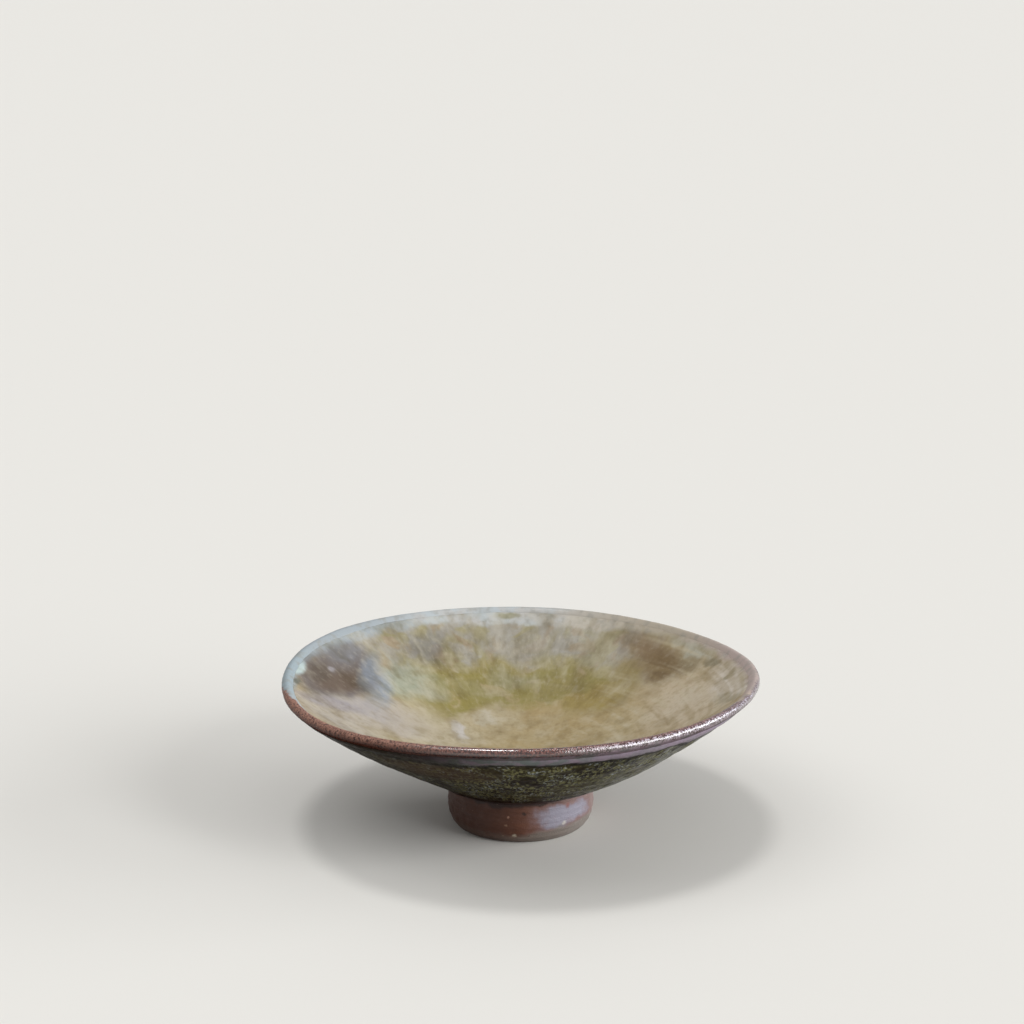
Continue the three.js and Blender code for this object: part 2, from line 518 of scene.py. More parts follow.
class Brush:
    """Builds the nodes of one finish. Every size that it is given is in millimetres."""

    def __init__(self, name: str) -> None:
        """Starts a finish of its own under a name.

        Args:
            name: The finish's name.
        """
        self.material = bpy.data.materials.new(name)
        self.material.use_nodes = True
        self.tree = self.material.node_tree

    def feed(self, socket: bpy.types.NodeSocket, value: Feed) -> None:
        """Links a socket to a value, or sets it to a plain one.

        Args:
            socket: The socket to feed.
            value: What goes into it.
        """
        if isinstance(value, Value):
            self.tree.links.new(value.socket, socket)
        else:
            socket.default_value = value

    def add(
        self, kind: str, inputs: dict[int | str, Feed], output: int | str = 0, **settings: str
    ) -> Value:
        """Adds one node.

        Args:
            kind: Its type, without the words that every type starts with.
            inputs: What goes into its inputs, by number or name.
            output: Which of its outputs is wanted.
            **settings: Its own properties.

        Returns:
            The value at that output.
        """
        node = self.tree.nodes.new("ShaderNode" + kind)
        for name, setting in settings.items():
            setattr(node, name, setting)
        for key, value in inputs.items():
            self.feed(node.inputs[key], value)
        return Value(self, node.outputs[output])

    @cached_property
    def place(self) -> Value:
        """The place on the bowl."""
        return self.vector("MULTIPLY", self.add("TexCoord", {}, "Object"), (1000, 1000, 1000))

    @cached_property
    def level(self) -> Value:
        """The place as it is seen from above."""
        return self.vector("MULTIPLY", self.place, (1, 1, 0))

    @cached_property
    def radius(self) -> Value:
        """Distance from the axis."""
        return self.length(self.level)

    @cached_property
    def around(self) -> Value:
        """Direction from the axis."""
        return self.vector("NORMALIZE", self.level)

    @cached_property
    def height(self) -> Value:
        """Height above what the bowl stands on."""
        return self.add("SeparateXYZ", {0: self.place}, "Z")

    @cached_property
    def across(self) -> Value:
        """Distance from the crest of the lip, as the mesh holds it. It is below zero outside."""
        return self.add("Attribute", {}, "Fac", attribute_name="across")

    def math(self, operation: str, first: Feed, second: Feed) -> Value:
        """One step of arithmetic on two numbers."""
        return self.add("Math", {0: first, 1: second}, operation=operation)

    def vector(self, operation: str, first: Feed, second: Feed = (0, 0, 0)) -> Value:
        """One step of arithmetic on two vectors that gives a vector."""
        return self.add("VectorMath", {0: first, 1: second}, "Vector", operation=operation)

    def length(self, vector: Feed) -> Value:
        """Length of a vector."""
        return self.add("VectorMath", {0: vector}, "Value", operation="LENGTH")

    def lumps(self, where: Feed, noise: Noise, output: int | str = 0) -> Value:
        """Noise at some places, as a number about 0.5 or, by its other output, a colour.

        Args:
            where: The places.
            noise: The noise.
            output: Which output is wanted.

        Returns:
            The noise's value.
        """
        shift = (noise.seed * 17.3 + 3.1, noise.seed * 9.7 - 41.0, noise.seed * 23.9 + 7.7)
        inputs = {
            "Vector": self.vector("ADD", where, shift),
            "Scale": 1 / noise.cell,
            "Detail": noise.detail,
            "Roughness": 0.55,
        }
        return self.add("TexNoise", inputs, output)

    def clouds(
        self, where: Feed, noise: Noise, low: float, high: float, top: float = 1.0
    ) -> Value:
        """Shares that rise from 0 to top as the noise goes from low to high."""
        return self.step(self.lumps(where, noise), low, high, top)

    def stray(self, noise: Noise, reach: float) -> Value:
        """Millimetres that stray about zero, by half of a reach at most."""
        return (self.lumps(self.place, noise) - 0.5) * reach

    def drift(self, where: Feed, cell: float, reach: float, seed: float) -> Value:
        """Places that stray from others, so that an edge drawn with them is uneven.

        Args:
            where: The places.
            cell: Size of the noise's cells.
            reach: About how far the places stray.
            seed: Which part of the noise is read.

        Returns:
            The strayed places.
        """
        stray = self.lumps(where, Noise(cell, seed), "Color")
        stray = self.vector("SUBTRACT", stray, (0.5, 0.5, 0.5))
        return self.vector("ADD", where, self.vector("MULTIPLY", stray, (4 * reach,) * 3))

    def flow(self, girth: float, pull: float) -> Value:
        """Places drawn out down the wall, as glaze runs.

        Args:
            girth: The radius at which sizes round the bowl are true.
            pull: How much of the way down the wall is left.

        Returns:
            The places to read a texture with.
        """
        around = self.vector("MULTIPLY", self.around, (girth, girth, 0))
        return self.vector("ADD", around, self.add("CombineXYZ", {"Z": self.radius * pull}))

    def step(self, value: Feed, low: float, high: float, top: float = 1.0) -> Value:
        """A smooth rise from 0 at low to top at high. High may be below low, for a fall.

        Args:
            value: The number to read.
            low: Where the rise starts.
            high: Where it ends.
            top: The value at its end.

        Returns:
            The value.
        """
        ends = (high, low, top, 0.0) if low > high else (low, high, 0.0, top)
        inputs = dict(zip(("From Min", "From Max", "To Min", "To Max"), ends, strict=True))
        return self.add("MapRange", {"Value": value} | inputs, interpolation_type="SMOOTHSTEP")

    def between(self, share: Feed, first: Feed, second: Feed) -> Value:
        """A number that goes from a first one to a second as a share goes from 0 to 1."""
        return self.add("Mix", {"Factor": share, 2: first, 3: second})

    def facing(
        self, middle: float, half_width: float, softness: float, top: float = 1.0
    ) -> Value:
        """A value that is 0 but for one side of the bowl.

        Args:
            middle: The middle of that side, in degrees.
            half_width: Degrees from the middle to its edge.
            softness: Degrees from the edge to where the fade starts, and to where it ends.
            top: The value on that side.

        Returns:
            The value.
        """
        inputs = {0: self.around, 1: (*climb(middle), 0)}
        turned_to = self.add("VectorMath", inputs, "Value", operation="DOT_PRODUCT")
        full = math.cos(math.radians(max(half_width - softness, 0)))
        none = math.cos(math.radians(min(half_width + softness, 180)))
        return self.step(turned_to, none, full, top)

    def shifted(self, value: Value, shifts: Sequence[Shift]) -> Value:
        """Adds shifts to a distance.

        Args:
            value: The distance.
            shifts: What is added on each side.

        Returns:
            The shifted distance.
        """
        for shift in shifts:
            value += self.facing(shift.middle, shift.half_width, shift.softness, shift.amount)
        return value

    def colour(self, share: Feed, under: Feed, over: Feed, blend: str = "MIX") -> Value:
        """Lays a share of one colour over another.

        Args:
            share: How much of the upper colour shows.
            under: The colour below.
            over: The colour above. Either may be a value or three numbers up to 255.
            blend: How the two are joined.

        Returns:
            The blended colour.
        """
        low, high = (linear(tone) if isinstance(tone, tuple) else tone for tone in (under, over))
        inputs = {"Factor": share, 6: low, 7: high}
        return self.add("Mix", inputs, 2, data_type="RGBA", blend_type=blend)

    def shade(self, share: Feed, under: Feed, tint: Colour) -> Value:
        """Multiplies a share of a colour by a tint, in which 255 leaves it as it is."""
        return self.colour(share, under, tint, "MULTIPLY")

    def washes(self, under: Value, washes: Sequence[Wash]) -> Value:
        """Lays washes over a colour, one after the other.

        Args:
            under: The colour below.
            washes: The washes, the lowest first.

        Returns:
            The colour with its washes.
        """
        for wash in washes:
            share = self.facing(wash.middle, wash.half_width, wash.softness, wash.strength)
            under = self.colour(share, under, wash.colour)
        return under

    def patches(self, where: Feed, under: Value, patches: Sequence[Patch]) -> Value:
        """Lays patches over a colour, one after the other.

        Args:
            where: The places to read them at.
            under: The colour below.
            patches: The patches, the lowest first.

        Returns:
            The colour with its patches.
        """
        for patch in patches:
            inputs = {
                "Vector": where,
                "Location": (patch.x, patch.y, 0),
                "Rotation": (0, 0, math.radians(patch.turn)),
                "Scale": (patch.length / 2, patch.width / 2, ENDLESS),
            }
            away = self.length(self.add("Mapping", inputs, vector_type="TEXTURE"))
            share = self.step(away, 1 + patch.softness, 1 - patch.softness, patch.strength)
            under = self.colour(share, under, patch.colour)
        return under

    def spots(self, under: Value, spots: Sequence[Spot]) -> Value:
        """Lays small marks over a colour, roughly round.

        Args:
            under: The colour below.
            spots: The marks, the lowest first.

        Returns:
            The colour with its marks.
        """
        uneven = self.drift(self.place, 0.8, 0.3, 61)
        for spot in spots:
            away = self.length(self.vector("SUBTRACT", uneven, spot.place))
            share = self.step(away, 0.65 * spot.size, 0.3 * spot.size, spot.strength)
            under = self.colour(share, under, spot.colour)
        return under

    def bump(self, height: Feed, depth: float, under: Value | None = None) -> Value:
        """A normal that follows a height from 0 to 1, laid on another normal if there is one.

        Args:
            height: The height to follow.
            depth: How high 1 is, in millimetres.
            under: The normal to lay it on, if there is one.

        Returns:
            The normal.
        """
        inputs = {"Strength": 1.0, "Distance": depth * MILLIMETRE, "Height": height}
        if under is not None:
            inputs["Normal"] = under
        return self.add("Bump", inputs)

    def relief(self, *layers: tuple[Value, Noise, float]) -> Value | None:
        """A normal that follows layers of noise: each one's places, its noise and its depth.

        Args:
            *layers: The places, the noise and the depth in millimetres of each.

        Returns:
            The normal, or None where there is no layer.
        """
        normal = None
        for where, noise, depth in layers:
            normal = self.bump(self.lumps(where, noise), depth, normal)
        return normal

    def finish(self, inputs: dict[str, Feed]) -> bpy.types.Material:
        """Feeds the shader's inputs by their names, and gives the material.

        Args:
            inputs: What goes into each input.

        Returns:
            The material.
        """
        shader = self.tree.nodes["Principled BSDF"]
        for name, value in inputs.items():
            self.feed(shader.inputs[name], value)
        return self.material


@dataclass(frozen=True)
class PaleTone:
    """The second, pale glaze: grey on the far side, bluer on the left and pinker on the right."""

    grey: Colour = (170, 177, 180)
    warm_grey: Colour = (174, 173, 170)
    fleck: Colour = (136, 134, 126)
    sides: tuple[Wash, ...] = (
        Wash(148, 22, 14, (148, 156, 161)),
        Wash(180, 14, 10, (145, 158, 164)),
        Wash(40, 30, 20, (168, 158, 142)),
        Wash(-8, 36, 16, (172, 156, 150)),
        Wash(308, 26, 14, (168, 148, 118)),
    )

    def lay(self, brush: Brush) -> Value:
        """Gives the tone at each place round the bowl.

        Args:
            brush: The brush to paint with.

        Returns:
            The tone.
        """
        clouds = brush.clouds(brush.place, Noise(7, 14, 3), 0.36, 0.64)
        tone = brush.washes(brush.colour(clouds, self.grey, self.warm_grey), self.sides)
        flecks = brush.clouds(brush.place, Noise(3.4, 46), 0.46, 0.7, 0.5)
        return brush.colour(flecks, tone, self.fleck)


@dataclass(frozen=True)
class InsideGlaze:
    """The soft, mottled ash glaze inside the bowl, with its pale rim."""

    sand: Colour = (164, 144, 102)
    grey_sand: Colour = (166, 154, 126)
    thin: Colour = (196, 188, 168)
    thick: Colour = (200, 190, 160)
    belt_grey: Colour = (142, 140, 134)
    belt_brown: Colour = (140, 127, 108)
    belt_olive: Colour = (138, 133, 104)
    olive: Colour = (130, 120, 58)
    ring_light: Colour = (188, 176, 148)
    ring_ochre: Colour = (152, 134, 96)
    pale_tone: PaleTone = PaleTone()
    rim_shifts: tuple[Shift, ...] = (
        Shift(82, 28, 12, -1.8),
        Shift(180, 18, 10, 2.2),
        Shift(149, 12, 8, -1.4),
        Shift(14, 42, 16, 2.2),
        Shift(268, 76, 12, 7.0),
    )
    blushes: tuple[Patch, ...] = (
        Patch(-60.5, 19, 46, 18, 66, (98, 91, 90), 0.94, 0.28),
        Patch(-59.5, 16, 26, 8, 60, (92, 76, 62), 0.85, 0.5),
        Patch(-66, 15, 15, 6, 70, (84, 72, 60), 0.8, 0.5),
        Patch(-58, 36, 18, 7, 57, (118, 118, 122), 0.85, 0.5),
        Patch(-50.5, 32, 5, 21, -8, (120, 128, 138), 0.7, 0.6),
        Patch(-62.1, 21.7, 3.4, 2.0, 60, (150, 146, 150), 0.65, 0.6),
        Patch(-71.8, -1, 6, 2, 84, (86, 88, 76), 0.8, 0.5),
        Patch(-61, -1.5, 32, 7, 48, (144, 138, 141), 0.75, 0.5),
        Patch(-72, 9.5, 11, 3.4, 81, (172, 188, 188), 0.95, 0.4),
        Patch(-4.5, 71, 8, 2.2, 0, (116, 112, 74), 0.8, 0.5),
    )
    patches: tuple[Patch, ...] = (
        Patch(14, 14, 56, 30, 5, (166, 147, 106), 0.75, 0.7),
        Patch(32, 15, 20, 12, 5, (178, 162, 126), 0.6, 0.6),
        Patch(54, 6, 50, 28, -82, (196, 182, 160), 0.8, 0.6),
        Patch(68, 4, 44, 10, -88, (210, 202, 192), 0.85, 0.6),
        Patch(-34, 12, 34, 24, 20, (172, 162, 140), 0.7, 0.6),
        Patch(-44, 8, 26, 22, 20, (166, 158, 150), 0.75, 0.6),
        Patch(-58, -14, 26, 36, -8, (156, 149, 142), 0.8, 0.6),
        Patch(-53, 9, 20, 12, 10, (152, 147, 148), 0.7, 0.6),
        Patch(-40, 34, 22, 16, 30, (148, 155, 142), 0.75, 0.6),
        Patch(-47, 25, 11, 20, -10, (131, 140, 153), 0.85, 0.5),
        Patch(-21, 19, 5, 8, 20, (186, 182, 180), 0.8, 0.5),
        Patch(-13, 27, 9, 5, 10, (188, 184, 172), 0.6, 0.6),
        Patch(-31, 34, 8, 6, 0, (168, 164, 150), 0.4, 0.6),
        Patch(23, 33, 22, 12, 15, (148, 130, 72), 0.9, 0.5),
        Patch(-17, 40, 22, 9, 0, (138, 131, 92), 0.6, 0.6),
        Patch(-4, 47, 16, 8, 0, (138, 135, 112), 0.5, 0.6),
        Patch(13, 41, 20, 9, 0, (134, 122, 70), 0.75, 0.6),
        Patch(36, 41, 14, 8, -40, (138, 122, 76), 0.85, 0.5),
        Patch(44, 46, 22, 11, -44, (120, 98, 68), 0.9, 0.6),
        Patch(49, 36, 17, 11, -50, (110, 88, 52), 0.9, 0.6),
        Patch(57, 36, 10, 5, -60, (134, 120, 92), 0.7, 0.5),
        Patch(30, 36, 9, 6, 0, (160, 148, 116), 0.45, 0.6),
        Patch(61, 38, 26, 6, -56, (174, 174, 162), 0.75, 0.6),
        Patch(64, 25, 10, 3.6, -75, (124, 115, 90), 0.8, 0.5),
        Patch(69, 9, 6, 3.0, 70, (136, 127, 100), 0.75, 0.5),
        Patch(65, -10, 5, 20, 8, (134, 125, 98), 0.7, 0.5),
        Patch(0, 60, 26, 9, 0, (142, 136, 124), 0.5, 0.6),
        Patch(-32, 54, 16, 9, 35, (114, 112, 110), 0.75, 0.6),
        Patch(24, 57, 12, 8, -20, (138, 128, 96), 0.5, 0.6),
        Patch(30, 58, 10, 4, -25, (136, 126, 90), 0.7, 0.5),
        Patch(-4, -42, 54, 26, 10, (168, 158, 138), 0.5, 0.6),
        Patch(34, -46, 28, 12, 35, (142, 133, 98), 0.5, 0.6),
        Patch(-36, -50, 20, 12, -40, (132, 117, 98), 0.45, 0.6),
    )

    def material(self) -> bpy.types.Material:
        """Builds the finish that the inner coat and the pale band inside share.

        Returns:
            The material.
        """
        brush = Brush("ash_glaze_inside")
        soft = brush.drift(brush.level, 20, 4, 1)
        edge = brush.drift(soft, 5, 1.6, 2)
        clouds = brush.clouds(soft, Noise(15, 3), 0.35, 0.65)
        colour = brush.colour(clouds, self.sand, self.grey_sand)
        colour = self.far_belts(brush, edge, colour)
        colour = brush.patches(edge, colour, self.patches)
        colour = self.rings(brush, colour)
        high = brush.step(brush.radius, 34, 60) * brush.facing(106, 62, 22)
        runs = brush.lumps(brush.flow(70, 0.4), Noise(3.6, 8, 1)) * high
        colour = brush.shade(brush.step(runs, 0.5, 0.72, 0.35), colour, self.thick)
        colour = self.pale_rim(brush, colour)
        colour = brush.patches(brush.drift(brush.level, 7, 0.9, 19), colour, self.blushes)
        return brush.finish(
            {
                "Base Color": self.mottle(brush, colour),
                "Roughness": brush.clouds(brush.place, Noise(4, 9, 3), 0.2, 0.8, 0.2) + 0.36,
                "Specular IOR Level": 0.4,
                "Normal": brush.relief(
                    (brush.place, Noise(0.7, 10), 0.04), (brush.place, Noise(3, 11), 0.1)
                ),
            }
        )

    def mottle(self, brush: Brush, under: Value) -> Value:
        """Breaks a colour up in soft clouds, where the glaze is thin or thick.

        Args:
            brush: The brush to paint with.
            under: The colour below.

        Returns:
            The mottled colour. On the far wall its clouds are drawn out down the wall.
        """
        on_wall = brush.step(brush.radius, 26, 46) * brush.facing(106, 62, 24)
        flow = brush.flow(52, 0.6)
        for cell, seed, share in ((8.0, 15, 0.5), (3.2, 16, 0.34), (1.2, 17, 0.24)):
            still = brush.lumps(brush.level, Noise(cell, seed, 1))
            drawn = brush.lumps(flow, Noise(cell, seed + 40, 1))
            clouds = brush.between(on_wall, still, drawn)
            under = brush.shade(brush.step(clouds, 0.5, 0.72, share), under, self.thick)
            under = brush.colour(brush.step(clouds, 0.46, 0.28, share * 0.45), under, self.thin)
        return under

    def far_belts(self, brush: Brush, edge: Value, under: Value) -> Value:
        """Lays the olive belt and the mottled belt above it, on the far side of the wall.

        Args:
            brush: The brush to paint with.
            edge: Places with an uneven stray.
            under: The colour below.

        Returns:
            The colour with both belts.
        """
        far = brush.facing(96, 50, 16)
        radius = brush.length(edge)
        belt_clouds = brush.clouds(edge, Noise(9, 4), 0.4, 0.6)
        belt = brush.colour(belt_clouds, self.belt_grey, self.belt_olive)
        belt = brush.colour(brush.clouds(edge, Noise(7, 5), 0.52, 0.68), belt, self.belt_brown)
        under = brush.colour(far * brush.step(radius, 48, 57) * 0.85, under, belt)
        pooled = brush.step(radius, 31, 38) * brush.step(radius, 58, 50)
        pooled *= brush.clouds(edge, Noise(8, 6), 0.26, 0.5, 0.92)
        return brush.colour(far * pooled, under, self.olive)

    def rings(self, brush: Brush, under: Value) -> Value:
        """Lays the thin pale lines that follow the throwing rings, clearest on the right.

        Args:
            brush: The brush to paint with.
            under: The colour below.

        Returns:
            The colour with the lines.
        """
        lines = brush.lumps(brush.drift(brush.flow(6, 1), 6, 0.6, 18), Noise(2.8, 12, 1))
        side = brush.facing(-2, 44, 25) + 0.15
        under = brush.colour(brush.step(lines, 0.48, 0.3, 0.4) * side, under, self.ring_ochre)
        return brush.colour(brush.step(lines, 0.5, 0.74, 0.5) * side, under, self.ring_light)

    def pale_rim(self, brush: Brush, under: Value) -> Value:
        """Lays the second, pale glaze under the lip."""
        reach = brush.shifted(brush.across + brush.stray(Noise(8, 13, 3), 7.0), self.rim_shifts)
        return brush.colour(brush.step(reach, 7.8, 4.8, 0.92), under, self.pale_tone.lay(brush))


@dataclass(frozen=True)
class OutsideGlaze:
    """The dark olive glaze outside, finely speckled, with a second glaze at its rim."""

    olive: Colour = (66, 60, 34)
    brown: Colour = (32, 22, 12)
    deep: Colour = (18, 15, 8)
    grey_blue_speck_and_glint: Colour = (180, 188, 188)
    wall_sheen: Colour = (158, 159, 156)
    green_fleck: Colour = (144, 143, 100)
    rim_lilac: Colour = (167, 152, 170)
    rim_grey: Colour = (130, 139, 140)
    rim_brown: Colour = (36, 26, 18)
    pool_and_shade: Colour = (34, 20, 14)
    marks: tuple[Patch, ...] = (
        Patch(-36, -55, 22, 1.2, -36, (92, 86, 70), 0.6, 0.6),
        Patch(35, -46, 5, 2, 30, (150, 146, 132), 0.6, 0.6),
        Patch(17, -69, 14, 2.6, 14, (22, 22, 12), 0.9, 0.5),
        Patch(30, -60, 16, 3, 30, (26, 26, 14), 0.6, 0.6),
        Patch(-24, -58, 32, 14, -16, (84, 66, 46), 0.6, 0.6),
    )

    def material(self) -> bpy.types.Material:
        """Builds the finish that the outer coat and the pale band outside share.

        Returns:
            The material.
        """
        brush = Brush("ash_glaze_outside")
        flow = brush.drift(brush.flow(50, 0.6), 2, 0.3, 34)
        colour = self.speckle(brush, flow)
        # Partly darker pooled glaze, mostly painted shade: the wall just above the foot, on the
        # front left, is darkened
        pooled = brush.radius + brush.lumps(brush.place, Noise(6, 33)) * 10
        pooled = brush.step(pooled, 40, 34, 0.95) * brush.facing(256, 44, 16)
        colour = brush.colour(pooled, colour, self.pool_and_shade)
        colour = brush.patches(brush.drift(brush.level, 6, 1.5, 31), colour, self.marks)
        return brush.finish(
            {
                "Base Color": self.rim(brush, colour),
                "Roughness": brush.clouds(brush.place, Noise(2, 26, 3), 0.2, 0.8, 0.25) + 0.25,
                "Specular IOR Level": 0.015,
                "Normal": brush.relief(
                    (flow, Noise(0.7, 27), 0.14), (brush.place, Noise(2.2, 28), 0.2)
                ),
            }
        )

    def speckle(self, brush: Brush, flow: Value) -> Value:
        """Paints the dark ground, darkened on the left as painted shade, its flecks, and a painted
        sheen on the right.

        Args:
            brush: The brush to paint with.
            flow: Places drawn out down the wall.

        Returns:
            The speckled colour.
        """
        ground = brush.clouds(brush.place, Noise(14, 21), 0.4, 0.62)
        colour = brush.colour(ground, self.olive, self.brown)
        # Painted shade: the left side of the wall, away from the light, is darkened to brown
        colour = brush.washes(colour, (Wash(215, 44, 22, self.brown, 0.85),))
        # Painted light: the pale flecks are strongest on the lit right side, and the grey-blue ones
        # stand partly for glints of gloss
        light = brush.clouds(brush.place, Noise(7, 22), 0.32, 0.56)
        light *= brush.facing(310, 64, 38) + 0.07
        green = light * brush.clouds(flow, Noise(0.85, 23, 3), 0.46, 0.62, 0.92)
        colour = brush.colour(green, colour, self.green_fleck)
        blue = light * brush.clouds(flow, Noise(0.7, 24, 3), 0.52, 0.64, 0.97)
        blue *= brush.clouds(flow, Noise(5, 32), 0.4, 0.6)
        colour = brush.colour(blue, colour, self.grey_blue_speck_and_glint)
        dark = brush.clouds(flow, Noise(0.95, 25, 3), 0.48, 0.34, 0.6)
        colour = brush.colour(dark, colour, self.deep)
        # Painted sheen: a pale haze on the lit right side of the wall
        wall_sheen_share = brush.facing(336, 26, 22) * brush.clouds(flow, Noise(3, 35, 3), 0.3, 0.7, 0.8)
        return brush.colour(wall_sheen_share, colour, self.wall_sheen)

    def rim(self, brush: Brush, under: Value) -> Value:
        """Lays the second glaze below the lip, where it broke lilac or grey, with painted shade in
        dark brown on the left.

        Args:
            brush: The brush to paint with.
            under: The colour below.

        Returns:
            The colour with the rim and its dark edge.
        """
        reach = brush.across + brush.stray(Noise(12, 29, 3), 12.0)
        clouds = brush.clouds(brush.place, Noise(5, 30), 0.36, 0.6)
        # Painted shade: the rim is dark brown on the left, away from the light
        sides = (Wash(318, 30, 16, self.rim_lilac, 0.7), Wash(212, 44, 18, self.rim_brown))
        tone = brush.washes(brush.colour(clouds, self.rim_grey, self.rim_lilac), sides)
        edge = brush.step(reach, -10.6, -8.6) * brush.step(reach, -6.4, -7.9, 0.85)
        under = brush.colour(edge, under, self.deep)
        return brush.colour(brush.step(reach, -8.5, -6.2, 0.9), under, tone)


@dataclass(frozen=True)
class IronLip:
    """The grainy, glossy iron-brown glaze on the lip, which breaks pale on the far side."""

    iron: Colour = (124, 70, 58)
    dark: Colour = (54, 24, 24)
    pale_grain: Colour = (174, 146, 138)
    painted_glint: Colour = (214, 214, 232)
    matt: Colour = (164, 124, 106)
    low_tint: Colour = (124, 82, 84)
    outside_grey: Colour = (106, 106, 106)
    outside_lilac: Colour = (136, 120, 130)
    outside_brown: Colour = (36, 26, 18)
    mauve: Wash = Wash(30, 60, 20, (100, 78, 84), 0.8)
    pale_tone: PaleTone = PaleTone()
    pale_shifts: tuple[Shift, ...] = (
        Shift(266, 72, 16, -3.4),
        Shift(16, 46, 14, -1.15),
        Shift(318, 22, 12, 1.4),
    )

    def material(self) -> bpy.types.Material:
        """Builds the finish of the band round the lip.

        Returns:
            The material.
        """
        brush = Brush("iron_glaze")
        across = brush.across
        grain = brush.lumps(brush.place, Noise(0.6, 41, 3))
        left = brush.facing(214, 34, 16)
        reach = across + brush.stray(Noise(5, 42, 3), 2.4)
        far = brush.step(brush.shifted(reach, self.pale_shifts), -1.5, -0.6)
        colour = self.iron_colour(brush, grain, left)
        colour = brush.colour(far, colour, self.pale_tone.lay(brush))
        colour = self.underside(brush, reach, colour)
        even = brush.math("MAXIMUM", far * 0.9, brush.facing(GLASSY_SIDE, 12, 6, 0.85))
        even = brush.math("MAXIMUM", even, brush.facing(318, 20, 12, 0.5))
        grainy = 1.0 - even
        coarse = brush.lumps(brush.place, Noise(1.3, 43))
        normal = brush.bump(coarse * grainy, 0.2, brush.bump(grain * grainy, 0.2))
        dull = brush.math("MAXIMUM", left, far * 0.95)
        dull = brush.math("MAXIMUM", dull, brush.step(across, -0.7, -1.5, 0.9))
        return brush.finish(
            {
                "Base Color": colour,
                "Roughness": brush.step(grain, 0.3, 0.7, 0.12) + 0.1 + left * 0.35 + far * 0.35,
                "Specular IOR Level": brush.step(across, -1.6, -0.7, 0.3),
                "Normal": normal,
                "Coat Weight": 1.0 - dull,
                "Coat Roughness": 0.13,
                "Coat IOR": 2.0,
                "Coat Normal": normal,
            }
        )

    def iron_colour(self, brush: Brush, grain: Value, left: Value) -> Value:
        """Paints the iron glaze, matt on the left, with painted glints on the right, and darker
        below the crest, partly as painted shade.

        Args:
            brush: The brush to paint with.
            grain: The noise of the glaze's grain.
            left: Share of the lip's left side.

        Returns:
            The colour of the iron glaze.
        """
        across = brush.across
        colour = brush.colour(brush.step(grain, 0.4, 0.6), self.dark, self.iron)
        colour = brush.colour(brush.step(grain, 0.56, 0.72, 0.7), colour, self.pale_grain)
        colour = brush.colour(left * brush.step(grain, 0.3, 0.6, 0.75), colour, self.matt)
        colour = brush.washes(colour, (self.mauve,))
        # Painted highlight: bright bluish glints along the crest on the right, where the light
        # catches the lip
        glint_share = brush.facing(318, 27, 15) * brush.step(grain, 0.44, 0.64, 0.95)
        crest = brush.step(across, -2.2, -1.2) * brush.step(across, 0.7, -0.2)
        colour = brush.colour(glint_share * crest, colour, self.painted_glint)
        # Partly the glaze's darker maroon, partly painted shade: the lip darkens below its crest,
        # where it turns down
        low = brush.step(across + brush.lumps(brush.place, Noise(3, 44)), 0.8, -0.9, 0.8)
        return brush.shade(low, colour, self.low_tint)

    def underside(self, brush: Brush, reach: Value, under: Value) -> Value:
        """Lays the grey and lilac tone under the lip, darkened to brown on the left as painted
        shade.

        Args:
            brush: The brush to paint with.
            reach: Distance from the crest of the lip, with an uneven stray.
            under: The colour below.

        Returns:
            The colour with the lip's underside.
        """
        clouds = brush.clouds(brush.place, Noise(5, 30), 0.36, 0.6)
        tone = brush.colour(clouds, self.outside_grey, self.outside_lilac)
        # Painted shade: the underside is dark brown on the left, away from the light
        tone = brush.washes(tone, (Wash(208, 48, 18, self.outside_brown),))
        below = reach - brush.facing(302, 42, 18, 1.5)
        return brush.colour(brush.step(below, -2.5, -3.3, 0.85), under, tone)


